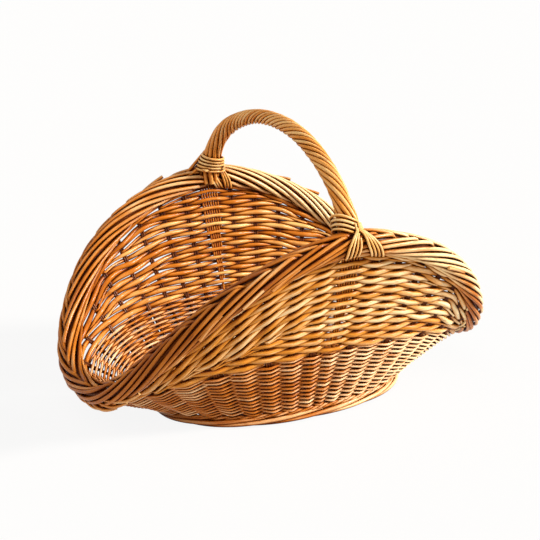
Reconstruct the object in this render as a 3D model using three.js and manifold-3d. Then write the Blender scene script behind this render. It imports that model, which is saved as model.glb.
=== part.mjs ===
// Wicker log carrier: an oval willow basket with a saddle shaped rim and one roped bow handle.
// Millimetres, +Z up, the long side along X, the handle across Y, standing on its foot border.
import * as THREE from "three";
import Module from "manifold-3d";

const wasm = await Module();
wasm.setup();

// Overall shape of the basket.
const rimHalfLength = 285;
const rimHalfWidth = 201;
const rimSquareness = 2.55;
const rimSideHeight = 264;
const rimEndHeight = 57;
const rimNearDrop = 0.53;
const rimNearPower = 1.53;
const rimFarPower = 4;
const baseHalfLength = 178;
const baseHalfWidth = 118;
const baseSquareness = 2.23;
const bulgeAlong = 0.65;
const bulgeAcross = 0.5;
const bulgeUpAtEnds = 0.46;
const bulgeUpAtSides = 0.45;

// Stakes and weave.
const stakePlaces = 40;
const stakeDiameter = 5;
const stakeTailLength = 30;
const lowerWeaveTop = 97;
const lowerBandCount = 2;
const lowerRows = 27;
const rowGap = 1.3;
const rowTilt = 50;
const lowerRodDiameter = 3.6;
const upperBandCount = 3;
const upperRodDiameter = 5;
const leastUpperBand = 7;
const bandGap = 1.3;

// Bottom.
const footHeight = 11.2;
const footWidth = 15.5;
const footChamfer = 2.6;
const matThickness = 4.2;
const slathStickWidth = 7;
const slathLongSticks = 3;
const slathLongSpacing = 22;
const slathCrossSticks = 7;
const slathCrossSpacing = 38;

// Rim, handle, lashings and straps.
const rimBorderDiameter = 32;
const borderStrands = 28;
const borderStrandDepth = 2.4;
const strandsOnSide = 4;
const innerStrandPower = 1.5;
const herringboneTilt = 25;
const handleRise = 149;
const handleSpringDrop = 29;
const handleInset = 3;
const handleCoreDiameter = 14;
const handleTailWidth = 15;
const handleTailThickness = 5;
const wrapThickness = 4.2;
const wrapWidth = 20.5;
const wrapPitch = 48;
const wrapCount = 2;
const lashingTurns = 4;
const lashingRodDiameter = 4;
const lashingPitch = 5.2;
const strapWidth = 12;
const strapThickness = 4;
const strapSplay = 8;
const strapReach = 132;

// Clearances between neighbouring pieces.
const seatGap = 0.3;
const weaveGap = 0.5;
const coilGap = 0.6;

// Facet counts.
const stakeSides = 5;
const borderSides = 21;
const borderSteps = 84;
const stakeStepsBelow = 3;
const outlineSteps = 48;
const coreSides = 8;
const archSteps = 22;
const wrapStepsPerTurn = 12;
const lashingStepsPerTurn = 16;
const lashingSides = 5;
const strapSteps = 14;
const meridianSteps = 32;

const willow = (color, roughness) => new THREE.MeshStandardMaterial({ color, roughness, metalness: 0 });
const basket = new THREE.Group();
basket.name = "log_carrier";

function addPiece(name, geometry, color) {
  const mesh = new THREE.Mesh(geometry, willow(color, 0.6));
  mesh.name = name;
  basket.add(mesh);
}

// Joins equal rings of points into one closed body, either capped at both ends or closed on itself.
function loft(rings, closed) {
  const sides = rings[0].length;
  const index = [];
  const spans = closed ? rings.length : rings.length - 1;
  for (let ring = 0; ring < spans; ring += 1) {
    const here = ring * sides;
    const next = ((ring + 1) % rings.length) * sides;
    for (let side = 0; side < sides; side += 1) {
      const turn = (side + 1) % sides;
      index.push(here + side, here + turn, next + turn);
      index.push(here + side, next + turn, next + side);
    }
  }
  if (!closed) {
    const last = (rings.length - 1) * sides;
    for (let side = 1; side < sides - 1; side += 1) {
      index.push(0, side + 1, side);
      index.push(last, last + side, last + side + 1);
    }
  }
  const points = rings.flat();
  let volume = 0;
  for (let at = 0; at < index.length; at += 3) {
    const [a, b, c] = [points[index[at]], points[index[at + 1]], points[index[at + 2]]];
    volume += a.dot(new THREE.Vector3().crossVectors(b, c));
  }
  if (volume < 0) {
    index.reverse();
  }
  const geometry = new THREE.BufferGeometry();
  geometry.setAttribute("position", new THREE.Float32BufferAttribute(points.flatMap((p) => p.toArray()), 3));
  geometry.setIndex(index);
  geometry.computeVertexNormals();
  return geometry;
}

function toSolid(geometry) {
  const mesh = new wasm.Mesh({
    numProp: 3,
    vertProperties: Float32Array.from(geometry.attributes.position.array),
    triVerts: Uint32Array.from(geometry.index.array),
  });
  mesh.merge();
  return new wasm.Manifold(mesh);
}

function toGeometry(solid) {
  const mesh = solid.getMesh();
  const geometry = new THREE.BufferGeometry();
  geometry.setAttribute("position", new THREE.Float32BufferAttribute(mesh.vertProperties, mesh.numProp));
  geometry.setIndex(Array.from(mesh.triVerts));
  geometry.computeVertexNormals();
  return geometry;
}

// Plan outlines and the saddle of the rim.
function outline(angle, halfLength, halfWidth, squareness) {
  const along = Math.cos(angle);
  const across = Math.sin(angle);
  return new THREE.Vector2(
    halfLength * Math.sign(along) * Math.abs(along) ** (2 / squareness),
    halfWidth * Math.sign(across) * Math.abs(across) ** (2 / squareness),
  );
}

function rimHeight(x) {
  const reach = Math.min(1, Math.abs(x / rimHalfLength));
  const share = rimNearDrop * reach ** rimNearPower + (1 - rimNearDrop) * reach ** rimFarPower;
  return rimSideHeight - (rimSideHeight - rimEndHeight) * share;
}

const stakeRadius = stakeDiameter / 2;
const stakeLevel = footHeight + seatGap + stakeRadius;

function footPoint(angle) {
  const plan = outline(angle, baseHalfLength, baseHalfWidth, baseSquareness);
  return new THREE.Vector3(plan.x, plan.y, stakeLevel);
}

function rimPoint(angle) {
  const plan = outline(angle, rimHalfLength, rimHalfWidth, rimSquareness);
  return new THREE.Vector3(plan.x, plan.y, rimHeight(plan.x));
}

// One line up the wall, from the edge of the base to the middle of the rim border.
const meridians = new Map();
function meridian(angle) {
  const known = meridians.get(angle);
  if (known) {
    return known;
  }
  const foot = footPoint(angle);
  const rim = rimPoint(angle);
  const endShare = Math.cos(angle) ** 2;
  const bulgeUp = bulgeUpAtEnds * endShare + bulgeUpAtSides * (1 - endShare);
  const bulge = new THREE.Vector3(bulgeAlong, bulgeAcross, bulgeUp);
  const control = rim.clone().sub(foot).multiply(bulge).add(foot);
  const points = new THREE.QuadraticBezierCurve3(foot, control, rim).getPoints(meridianSteps);
  const lengths = [0];
  for (let at = 1; at < points.length; at += 1) {
    lengths.push(lengths[at - 1] + points[at].distanceTo(points[at - 1]));
  }
  const line = { points, lengths, length: lengths[meridianSteps] };
  meridians.set(angle, line);
  return line;
}

function onWall(angle, distance) {
  const { points, lengths } = meridian(angle);
  let at = 1;
  while (at < meridianSteps && lengths[at] < distance) {
    at += 1;
  }
  const share = (distance - lengths[at - 1]) / (lengths[at] - lengths[at - 1]);
  return points[at - 1].clone().lerp(points[at], share);
}

const angleProbe = 0.01;
const distanceProbe = 1;
function wallNormal(angle, distance) {
  const round = onWall(angle + angleProbe, distance).sub(onWall(angle - angleProbe, distance));
  const up = onWall(angle, distance + distanceProbe).sub(onWall(angle, distance - distanceProbe));
  return round.cross(up).normalize();
}

function offWall(angle, distance, offset) {
  return onWall(angle, distance).addScaledVector(wallNormal(angle, distance), offset);
}

// Angles at equal steps along an outline, the same in all four quarters.
function equalAngles(count, halfLength, halfWidth, squareness) {
  const fine = 4000;
  const lengths = [0];
  for (let at = 1; at <= fine; at += 1) {
    const from = outline(((at - 1) / fine) * Math.PI * 2, halfLength, halfWidth, squareness);
    lengths.push(lengths[at - 1] + outline((at / fine) * Math.PI * 2, halfLength, halfWidth, squareness).distanceTo(from));
  }
  const angles = [];
  let at = 0;
  for (let step = 0; step < count; step += 1) {
    const wanted = (step / count) * lengths[fine];
    while (lengths[at + 1] < wanted) {
      at += 1;
    }
    const share = (wanted - lengths[at]) / (lengths[at + 1] - lengths[at]);
    angles.push(((at + share) / fine) * Math.PI * 2);
  }
  return angles;
}

const midHalfLength = (rimHalfLength + baseHalfLength) / 2;
const midHalfWidth = (rimHalfWidth + baseHalfWidth) / 2;
const stakeAngles = equalAngles(stakePlaces, midHalfLength, midHalfWidth, rimSquareness);
const backPlace = stakePlaces / 4;
const frontPlace = stakePlaces - backPlace;
const isHandlePlace = (place) => place === backPlace || place === frontPlace;

const borderRadius = rimBorderDiameter / 2;

// How steeply the rim's line crosses the line up the wall.
function rimCrossing(angle) {
  const along = rimPoint(angle + angleProbe).sub(rimPoint(angle - angleProbe)).normalize();
  const { points } = meridian(angle);
  const up = points[meridianSteps].clone().sub(points[meridianSteps - 1]).normalize();
  return { cosine: Math.abs(along.dot(up)), sine: along.cross(up).length() };
}

// Where the wall ends under the rim border, for something that reaches a little to both sides.
function wallTop(angle, halfWidth = 0) {
  const { cosine, sine } = rimCrossing(angle);
  return meridian(angle).length - (borderRadius + weaveGap + halfWidth * cosine) / sine;
}

// Half the angle that the flat tail of the handle takes up in the wall.
const rimCosine = (x) => Math.abs(x / rimHalfLength) ** (rimSquareness / 2);
const tailHalfAngle = Math.asin(rimCosine(handleTailWidth / 2 + weaveGap));

// Columns of the weave: one at each stake, and two at each tail of the handle.
const columns = [];
for (let place = 0; place < stakePlaces; place += 1) {
  if (isHandlePlace(place)) {
    columns.push({ place, angle: stakeAngles[place] - tailHalfAngle });
    columns.push({ place, angle: stakeAngles[place] + tailHalfAngle });
  } else {
    columns.push({ place, angle: stakeAngles[place] });
  }
}

let leastSpacing = Infinity;
for (let at = 0; at < columns.length; at += 1) {
  const next = columns[(at + 1) % columns.length];
  if (next.place !== columns[at].place) {
    leastSpacing = Math.min(leastSpacing, footPoint(columns[at].angle).distanceTo(footPoint(next.angle)));
  }
}

// A point off the wall on a way that slopes alike all round, at a distance measured square to the wall.
function offRow(angle, distance, offset) {
  const normal = wallNormal(angle, distance);
  const tilt = THREE.MathUtils.degToRad(rowTilt);
  const way = new THREE.Vector3(normal.x, normal.y, 0).setLength(Math.cos(tilt));
  way.z = -Math.sin(tilt);
  return onWall(angle, distance).addScaledVector(way, offset / way.dot(normal));
}

// How far a band's middle stands off the wall's middle where it passes a stake.
function weaveLift(rodDiameter) {
  const slope = (2 * (stakeRadius + weaveGap + rodDiameter / 2)) / leastSpacing;
  return (stakeRadius + weaveGap) * Math.hypot(1, slope) + rodDiameter / 2;
}

// The lowest place on the wall where a band clears the foot border and the lower ends of the stakes.
function lowerWeaveStart(angle) {
  const reach = weaveLift(lowerRodDiameter) + lowerRodDiameter / 2;
  const clearLevel = stakeLevel + stakeRadius + weaveGap;
  let distance = stakeRadius;
  while (
    offRow(angle, distance, reach).z < footHeight + weaveGap ||
    offRow(angle, distance, -reach).z < clearLevel ||
    onWall(angle, distance).z < clearLevel
  ) {
    distance += stakeRadius / 4;
  }
  return distance;
}

// Equal steps up the lower weave on one column, and the edges of the bands above it.
function lowerLevels(angle, count) {
  const start = lowerWeaveStart(angle);
  const top = Math.min(lowerWeaveTop, wallTop(angle));
  return Array.from({ length: count + 1 }, (_, at) => start + ((top - start) * at) / count);
}

function upperEdges(angle) {
  const top = wallTop(angle);
  const start = Math.min(lowerWeaveTop, top);
  return Array.from({ length: upperBandCount + 1 }, (_, at) => start + ((top - start) * at) / upperBandCount);
}

function hasUpperWeave(angle) {
  const edges = upperEdges(angle);
  return edges[1] - edges[0] >= leastUpperBand;
}

// The faces of a rod that passes outside one stake and inside the next.
function weaveFaces(column, phase, rodDiameter) {
  const side = (column.place + phase) % 2 === 0 ? 1 : -1;
  const middle = side * weaveLift(rodDiameter);
  return [middle - rodDiameter / 2, middle + rodDiameter / 2];
}

// A row of the lower weave, with a ridge on its outer face.
function rowRing(column, row, levels) {
  const [inner, outer] = weaveFaces(column, row, lowerRodDiameter);
  const low = levels[row] + rowGap / 2;
  const high = levels[row + 1] - rowGap / 2;
  return [
    offRow(column.angle, low, inner),
    offRow(column.angle, (low + high) / 2, outer),
    offRow(column.angle, high, inner),
  ];
}

// A band of the upper weave.
function bandRing(column, band, edges) {
  const [inner, outer] = weaveFaces(column, lowerRows + band, upperRodDiameter);
  const low = edges[band] + bandGap / 2;
  const high = edges[band + 1] - bandGap / 2;
  return [
    offWall(column.angle, low, inner),
    offWall(column.angle, low, outer),
    offWall(column.angle, high, outer),
    offWall(column.angle, high, inner),
  ];
}

// The least gap between the edges of a row and those of the next row up, from stake to stake.
function leastRowGap(rings) {
  let least = Infinity;
  for (let at = 0; at + columns.length + 1 < rings.length; at += 1) {
    const above = at + columns.length;
    rings[at].forEach((start, edge) => {
      const line = new THREE.Ray(start, rings[at + 1][edge].clone().sub(start).normalize());
      rings[above].forEach((from, other) => {
        least = Math.min(least, line.distanceSqToSegment(from, rings[above + 1][other]));
      });
    });
  }
  return Math.sqrt(least);
}

// Lower weave: each rod goes round and round the basket, and climbs one row with every turn.
const lowerColors = [0xb9793a, 0xc2823f];
const rowLevels = columns.map((column) => lowerLevels(column.angle, lowerRows));
for (let band = 0; band < lowerBandCount; band += 1) {
  const firstRow = Math.round((lowerRows * band) / lowerBandCount);
  const endRow = Math.round((lowerRows * (band + 1)) / lowerBandCount);
  const rings = [];
  for (let row = firstRow; row < endRow; row += 1) {
    columns.forEach((column, at) => {
      rings.push(rowRing(column, row, rowLevels[at]));
    });
  }
  const name = `lower_weave_${band + 1}`;
  console.log(`${name} least gap between rows ${leastRowGap(rings).toFixed(2)} mm`);
  addPiece(name, loft(rings, false), lowerColors[band % lowerColors.length]);
}

const upperColors = [0xc98a45, 0xd0924c, 0xc68540];
function addUpperWeave(side, sideColumns) {
  const used = sideColumns.filter((column) => hasUpperWeave(column.angle));
  for (let band = 0; band < upperBandCount; band += 1) {
    const rings = used.map((column) => bandRing(column, band, upperEdges(column.angle)));
    addPiece(`${side}_weave_${band + 1}`, loft(rings, false), upperColors[band % upperColors.length]);
  }
}
addUpperWeave("back", columns.filter((column) => column.angle > 0 && column.angle < Math.PI));
addUpperWeave("front", columns.filter((column) => column.angle > Math.PI));

// A rod through a row of points, mitred at each of them.
function rod(points, radius, sides) {
  const rings = [];
  const along = (at) => points[at + 1].clone().sub(points[at]).normalize();
  const first = along(0);
  const lean = Math.abs(first.z) < 0.9 ? new THREE.Vector3(0, 0, 1) : new THREE.Vector3(1, 0, 0);
  const right = new THREE.Vector3().crossVectors(first, lean).normalize();
  const over = new THREE.Vector3().crossVectors(first, right);
  let ring = Array.from({ length: sides }, (_, side) => {
    const turn = (side / sides) * Math.PI * 2;
    const arm = right.clone().multiplyScalar(Math.cos(turn)).addScaledVector(over, Math.sin(turn));
    return points[0].clone().addScaledVector(arm, radius);
  });
  rings.push(ring);
  for (let at = 1; at < points.length; at += 1) {
    const before = along(at - 1);
    const after = at < points.length - 1 ? along(at) : before;
    const plane = before.clone().add(after).normalize();
    ring = ring.map((corner) => {
      const travel = points[at].clone().sub(corner).dot(plane) / before.dot(plane);
      return corner.clone().addScaledVector(before, travel);
    });
    rings.push(ring);
  }
  return loft(rings, false);
}

// The stakes: a tail inside the base, a bend at its edge, then up the wall to the rim border.
function stakeLine(angle) {
  const foot = footPoint(angle);
  const inward = new THREE.Vector3(-foot.x / baseHalfLength ** 2, -foot.y / baseHalfWidth ** 2, 0).normalize();
  const line = [foot.clone().addScaledVector(inward, stakeTailLength), foot];
  const levels = lowerLevels(angle, stakeStepsBelow).slice(1);
  if (hasUpperWeave(angle)) {
    levels.push(...upperEdges(angle).slice(1));
  }
  levels[levels.length - 1] = wallTop(angle, stakeRadius);
  return line.concat(levels.map((distance) => onWall(angle, distance)));
}

let stakeNumber = 0;
for (let place = 0; place < stakePlaces; place += 1) {
  if (!isHandlePlace(place)) {
    stakeNumber += 1;
    const name = `stake_${String(stakeNumber).padStart(2, "0")}`;
    addPiece(name, rod(stakeLine(stakeAngles[place]), stakeRadius, stakeSides), 0xa9672f);
  }
}

// The bottom: two woven mats over and under the stake tails, with the crossed sticks between them.
const outlineAngles = equalAngles(outlineSteps, baseHalfLength, baseHalfWidth, baseSquareness);
function mat(inset, level) {
  const shape = new THREE.Shape(
    outlineAngles.map((angle) => outline(angle, baseHalfLength - inset, baseHalfWidth - inset, baseSquareness)),
  );
  const geometry = new THREE.ExtrudeGeometry(shape, { depth: matThickness, bevelEnabled: false });
  geometry.translate(0, 0, level);
  return geometry;
}

const footMiddleOutset = stakeRadius + weaveGap;
const footInnerInset = footWidth / 2 - footMiddleOutset;
const innerReach = weaveLift(lowerRodDiameter) + lowerRodDiameter / 2;
const lowerMatInset = footInnerInset + weaveGap;
const upperMatInset = innerReach + weaveGap;
addPiece("base_weave_lower", mat(lowerMatInset, stakeLevel - stakeRadius - seatGap - matThickness), 0xb07338);
addPiece("base_weave_upper", mat(upperMatInset, stakeLevel + stakeRadius + seatGap), 0xb87b3d);

function slathStick(length, x, y, turned) {
  const stick = new THREE.BoxGeometry(length, slathStickWidth, stakeDiameter);
  if (turned) {
    stick.rotateZ(Math.PI / 2);
  }
  stick.translate(x, y, stakeLevel);
  return toSolid(stick);
}

// Half the chord of the room inside the stake tails, at one place along or across the base.
const slathHalfLength = baseHalfLength - stakeTailLength - weaveGap;
const slathHalfWidth = baseHalfWidth - stakeTailLength - weaveGap;
function slathChord(place, halfAcross, halfAlong) {
  const edge = Math.min(1, (Math.abs(place) + slathStickWidth / 2) / halfAcross);
  return 2 * halfAlong * Math.sqrt(1 - edge ** 2);
}

let slath = null;
const joinStick = (stick) => {
  slath = slath ? slath.add(stick) : stick;
};
for (let at = 0; at < slathLongSticks; at += 1) {
  const y = (at - (slathLongSticks - 1) / 2) * slathLongSpacing;
  joinStick(slathStick(slathChord(y, slathHalfWidth, slathHalfLength), 0, y, false));
}
for (let at = 0; at < slathCrossSticks; at += 1) {
  const x = (at - (slathCrossSticks - 1) / 2) * slathCrossSpacing;
  joinStick(slathStick(slathChord(x, slathHalfLength, slathHalfWidth), x, 0, true));
}
addPiece("base_slath", toGeometry(slath), 0x9c6230);

// Foot border, with a flat underside to stand on.
const footProfile = [
  [-footWidth / 2 + footChamfer, 0],
  [footWidth / 2 - footChamfer, 0],
  [footWidth / 2, footChamfer],
  [footWidth / 2, footHeight - footChamfer],
  [footWidth / 2 - footChamfer, footHeight],
  [-footWidth / 2 + footChamfer, footHeight],
  [-footWidth / 2, footHeight - footChamfer],
  [-footWidth / 2, footChamfer],
];
const footRings = outlineAngles.map((angle) =>
  footProfile.map(([across, level]) => {
    const grow = footMiddleOutset + across;
    const plan = outline(angle, baseHalfLength + grow, baseHalfWidth + grow, baseSquareness);
    return new THREE.Vector3(plan.x, plan.y, level);
  }),
);
addPiece("foot_border", loft(footRings, true), 0xa86c34);

// Handle: a bow with flat tails that run down inside the side walls to the base.
const coreRadius = handleCoreDiameter / 2;
const archHalfSpan = rimHalfWidth - handleInset;
const archBase = rimSideHeight - handleSpringDrop;
const wrapInner = coreRadius + coilGap;
const wrapOuter = wrapInner + wrapThickness;
const strapInner = borderRadius / Math.cos(Math.PI / borderSteps) + weaveGap;
const footLevel = rimSideHeight + strapInner + strapThickness + weaveGap;
const archStart = Math.asin((footLevel - archBase) / handleRise);
const archPoint = (turn) => new THREE.Vector3(0, -archHalfSpan * Math.cos(turn), archBase + handleRise * Math.sin(turn));

function coreStations(grow) {
  const angle = stakeAngles[frontPlace];
  const top = meridian(angle).length;
  const stations = [];
  const addStation = (place, halfWidth, halfDepth) => {
    stations.push({ place, halfWidth: halfWidth + grow, halfDepth: halfDepth + grow });
  };
  const thin = stakeRadius;
  const thick = handleTailThickness / 2;
  const wide = handleTailWidth / 2;
  for (const distance of lowerLevels(angle, stakeStepsBelow)) {
    if (distance < lowerWeaveTop - 2 * handleTailWidth) {
      addStation(onWall(angle, distance), thin, thin);
    }
  }
  addStation(onWall(angle, lowerWeaveTop - handleTailWidth), thin, thin);
  addStation(onWall(angle, lowerWeaveTop + handleTailWidth), wide, thick);
  addStation(onWall(angle, top - borderRadius), wide, thick);
  addStation(onWall(angle, top - borderRadius / 2), coreRadius, coreRadius);
  for (let step = 0; step <= archSteps / 2; step += 1) {
    addStation(archPoint(archStart + ((Math.PI / 2 - archStart) * step) / (archSteps / 2)), coreRadius, coreRadius);
  }
  const back = stations.slice(0, -1).reverse();
  const mirrored = back.map((station) => ({
    ...station,
    place: new THREE.Vector3(station.place.x, -station.place.y, station.place.z),
  }));
  return stations.concat(mirrored);
}

function coreBody(grow) {
  const stations = coreStations(grow);
  const rings = stations.map(({ place, halfWidth, halfDepth }, at) => {
    const before = stations[Math.max(at - 1, 0)].place;
    const after = stations[Math.min(at + 1, stations.length - 1)].place;
    const along = after.clone().sub(before).normalize();
    const out = new THREE.Vector3(1, 0, 0).cross(along);
    return Array.from({ length: coreSides }, (_, side) => {
      const turn = ((side + 0.5) / coreSides) * Math.PI * 2;
      const corner = place.clone().addScaledVector(out, halfDepth * Math.sin(turn));
      corner.x += halfWidth * Math.cos(turn);
      return corner;
    });
  });
  return loft(rings, false);
}
addPiece("handle_core", coreBody(0), 0xb87a3a);

// Rim border: strands climb both sides of a thick ring to a herringbone line beside its top.
function strandPlace(fromLine) {
  const share = Math.abs(fromLine) / Math.PI;
  return strandsOnSide * (fromLine < 0 ? share ** innerStrandPower : share);
}

const borderAngles = equalAngles(borderSteps, rimHalfLength, rimHalfWidth, rimSquareness);
const borderRings = borderAngles.map((angle, step) => {
  const middle = rimPoint(angle);
  const along = rimPoint(angle + angleProbe).sub(rimPoint(angle - angleProbe)).normalize();
  const out = new THREE.Vector3(along.y, -along.x, 0).normalize();
  const over = new THREE.Vector3().crossVectors(out, along).normalize();
  return Array.from({ length: borderSides }, (_, side) => {
    const fromLine = (side / borderSides) * Math.PI * 2 - Math.PI;
    const strand = (borderStrands * step) / borderSteps + strandPlace(fromLine);
    const dip = (1 - Math.cos(strand * Math.PI * 2)) / 2;
    const radius = borderRadius - borderStrandDepth * dip;
    const turn = THREE.MathUtils.degToRad(herringboneTilt) + fromLine;
    return middle
      .clone()
      .addScaledVector(over, radius * Math.cos(turn))
      .addScaledVector(out, radius * Math.sin(turn));
  });
});

// A hole where each foot of the handle passes through the border.
const rimBorder = toSolid(loft(borderRings, true)).subtract(toSolid(coreBody(seatGap)));
addPiece("rim_border", toGeometry(rimBorder), 0xc58642);

// The bow's line by length, so that what is wound on it keeps an even pitch.
const fineArch = 400;
const archLine = [];
for (let step = 0; step <= fineArch; step += 1) {
  const turn = archStart + ((Math.PI - 2 * archStart) * step) / fineArch;
  const place = archPoint(turn);
  const length = step === 0 ? 0 : archLine[step - 1].length + place.distanceTo(archLine[step - 1].place);
  archLine.push({ turn, place, length });
}
const archLength = archLine[fineArch].length;
function archFrame(length) {
  const at = archLine.findIndex((station) => station.length >= length);
  const later = archLine[Math.max(at, 1)];
  const earlier = archLine[Math.max(at, 1) - 1];
  const share = (length - earlier.length) / (later.length - earlier.length);
  const turn = earlier.turn + (later.turn - earlier.turn) * share;
  const along = new THREE.Vector3(0, archHalfSpan * Math.sin(turn), handleRise * Math.cos(turn)).normalize();
  return { place: archPoint(turn), out: new THREE.Vector3(1, 0, 0).cross(along) };
}

function aroundArch(length, angle, radius) {
  const { place, out } = archFrame(length);
  const point = place.addScaledVector(out, radius * Math.sin(angle));
  point.x += radius * Math.cos(angle);
  return point;
}

// Bands of rods wound round the core from foot to foot.
const wrapTurns = (archLength - wrapWidth - (wrapPitch * (wrapCount - 1)) / wrapCount) / wrapPitch;
const wrapSteps = Math.floor(wrapTurns * wrapStepsPerTurn);
for (let wrap = 0; wrap < wrapCount; wrap += 1) {
  const rings = [];
  for (let step = 0; step <= wrapSteps; step += 1) {
    const middle = wrapWidth / 2 + (wrapPitch * wrap) / wrapCount + (wrapPitch * step) / wrapStepsPerTurn;
    const angle = (-Math.PI * 2 * step) / wrapStepsPerTurn;
    rings.push([
      aroundArch(middle - wrapWidth / 2, angle, wrapInner),
      aroundArch(middle + wrapWidth / 2, angle, wrapInner),
      aroundArch(middle + wrapWidth / 2, angle, wrapOuter),
      aroundArch(middle - wrapWidth / 2, angle, wrapOuter),
    ]);
  }
  addPiece(`handle_wrap_${wrap + 1}`, loft(rings, false), wrap % 2 === 0 ? 0xcf9450 : 0xc48946);
}

// Lashings: one rod wound round each foot of the handle, over the wraps.
const lashingRadius = lashingRodDiameter / 2;
const lashingMiddle = wrapOuter + coilGap + lashingRadius;
function lashingLine(fromBack) {
  const line = [];
  for (let step = 0; step <= lashingTurns * lashingStepsPerTurn; step += 1) {
    const turns = step / lashingStepsPerTurn;
    const length = lashingRadius + weaveGap + turns * lashingPitch;
    const angle = turns * Math.PI * 2;
    line.push(aroundArch(fromBack ? archLength - length : length, angle, lashingMiddle));
  }
  return line;
}

// The least gap between one turn of a lashing and the next, measured on the points of its line.
function leastTurnGap(line) {
  let least = Infinity;
  for (let from = 0; from < line.length; from += 1) {
    for (let to = from + lashingStepsPerTurn / 2; to < line.length; to += 1) {
      least = Math.min(least, line[from].distanceTo(line[to]) - lashingRodDiameter);
    }
  }
  return least;
}

for (const [name, fromBack] of [["front_lashing", false], ["back_lashing", true]]) {
  const line = lashingLine(fromBack);
  console.log(`${name} least gap between turns ${leastTurnGap(line).toFixed(2)} mm`);
  addPiece(name, rod(line, lashingRadius, lashingSides), 0xc78c4a);
}

// Straps: bundles of rods over the rim border on both sides of each foot of the handle.
function rimAt(x, sign) {
  const y = sign * rimHalfWidth * (1 - Math.abs(x / rimHalfLength) ** rimSquareness) ** (1 / rimSquareness);
  return new THREE.Vector3(x, y, rimHeight(x));
}

const sideUp = onWall(stakeAngles[backPlace], meridian(stakeAngles[backPlace]).length);
sideUp.sub(onWall(stakeAngles[backPlace], wallTop(stakeAngles[backPlace]))).normalize();
const strapOuter = strapInner + strapThickness;
const strapNear = coreRadius + coilGap + strapWidth / 2;
function strap(hand, sign) {
  const rings = [];
  const out = new THREE.Vector3(0, sign * sideUp.z, -Math.abs(sideUp.y));
  const up = new THREE.Vector3(0, sign * Math.abs(sideUp.y), sideUp.z);
  for (let step = 0; step <= strapSteps; step += 1) {
    const share = (2 * step) / strapSteps - 1;
    const turn = THREE.MathUtils.degToRad(strapReach) * share;
    const middle = strapNear + strapSplay * share ** 2;
    const corner = (along, radius) =>
      rimAt(hand * (middle + along), sign)
        .addScaledVector(up, radius * Math.cos(turn))
        .addScaledVector(out, radius * Math.sin(turn));
    rings.push([
      corner(-strapWidth / 2, strapInner),
      corner(strapWidth / 2, strapInner),
      corner(strapWidth / 2, strapOuter),
      corner(-strapWidth / 2, strapOuter),
    ]);
  }
  return loft(rings, false);
}
addPiece("front_left_strap", strap(-1, -1), 0xcb9049);
addPiece("front_right_strap", strap(1, -1), 0xc88c47);
addPiece("back_left_strap", strap(-1, 1), 0xc98e48);
addPiece("back_right_strap", strap(1, 1), 0xc68a45);

export default basket;
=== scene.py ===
import math
import bpy
import numpy as np
from mathutils import Matrix


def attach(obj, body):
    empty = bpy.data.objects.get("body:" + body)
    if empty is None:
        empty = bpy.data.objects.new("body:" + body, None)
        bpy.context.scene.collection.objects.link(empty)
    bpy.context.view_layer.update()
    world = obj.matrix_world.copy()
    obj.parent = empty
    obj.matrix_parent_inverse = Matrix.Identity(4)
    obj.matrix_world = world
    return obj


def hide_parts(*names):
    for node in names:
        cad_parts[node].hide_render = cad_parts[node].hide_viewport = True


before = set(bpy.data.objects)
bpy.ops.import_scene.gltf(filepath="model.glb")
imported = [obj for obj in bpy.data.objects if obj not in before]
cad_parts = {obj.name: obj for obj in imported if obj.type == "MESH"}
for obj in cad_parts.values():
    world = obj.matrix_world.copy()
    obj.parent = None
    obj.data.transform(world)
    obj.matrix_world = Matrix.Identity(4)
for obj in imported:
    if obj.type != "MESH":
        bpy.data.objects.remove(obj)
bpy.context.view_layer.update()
bpy.ops.object.select_all(action="DESELECT")
rng = np.random.default_rng(20)

# Shape of the basket, in millimetres: the long side along X, the handle across Y.
RIM_HALF_LENGTH = 285.0
RIM_HALF_WIDTH = 201.0
RIM_SQUARENESS = 2.55
RIM_SIDE_HEIGHT = 264.0
RIM_END_HEIGHT = 57.0
BASE_HALF_LENGTH = 178.0
BASE_HALF_WIDTH = 118.0
BASE_SQUARENESS = 2.23
STAKE_LEVEL = 14.0
PLACES = 40
BACK_PLACE = 10
FRONT_PLACE = 30
FINE_TOP = 97.0
FINE_ROWS = 27
STAKE_RADIUS = 2.4
FINE_RADIUS = 1.8
COARSE_RADIUS = 2.35
METRES = 0.001
UP = np.array([0.0, 0.0, 1.0])


def unit(v):
    return v / np.maximum(np.linalg.norm(v, axis=-1, keepdims=True), 1e-12)


def smooth(low, high, value):
    """Rises from 0 at low to 1 at high, and is level at both."""
    share = np.clip((np.asarray(value, float) - low) / (high - low), 0.0, 1.0)
    return share * share * (3.0 - 2.0 * share)


def hump(away, width):
    """One at no distance, and near zero at twice the width."""
    return np.exp(-((away / width) ** 2))


def travelled(points):
    """Length along a line of points."""
    steps = np.linalg.norm(np.diff(points, axis=0), axis=-1)
    return np.concatenate([[0.0], np.cumsum(steps)])


def ring_way(points):
    """Direction along a closed line of points."""
    return unit(np.roll(points, -1, 0) - np.roll(points, 1, 0))


OUTLINE_POINTS = 16001


def outline(angle, half_length, half_width, squareness):
    """A rounded oblong: an ellipse with a squareness of 2, and squarer with more."""
    c, s = np.cos(angle), np.sin(angle)
    power = 2.0 / squareness
    return half_length * np.sign(c) * np.abs(c) ** power, half_width * np.sign(s) * np.abs(s) ** power


def equal_angles(count, half_length, half_width, squareness):
    """Angles at equal steps along an outline."""
    fine = np.linspace(0.0, 2.0 * np.pi, OUTLINE_POINTS)
    length = travelled(np.stack(outline(fine, half_length, half_width, squareness), -1))
    return np.interp(np.arange(count) / count * length[-1], length, fine)


# The rim falls gently from the handle, and steeply near the ends.
GENTLE_FALL = 0.53
GENTLE_POWER = 1.53
STEEP_POWER = 4


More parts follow.
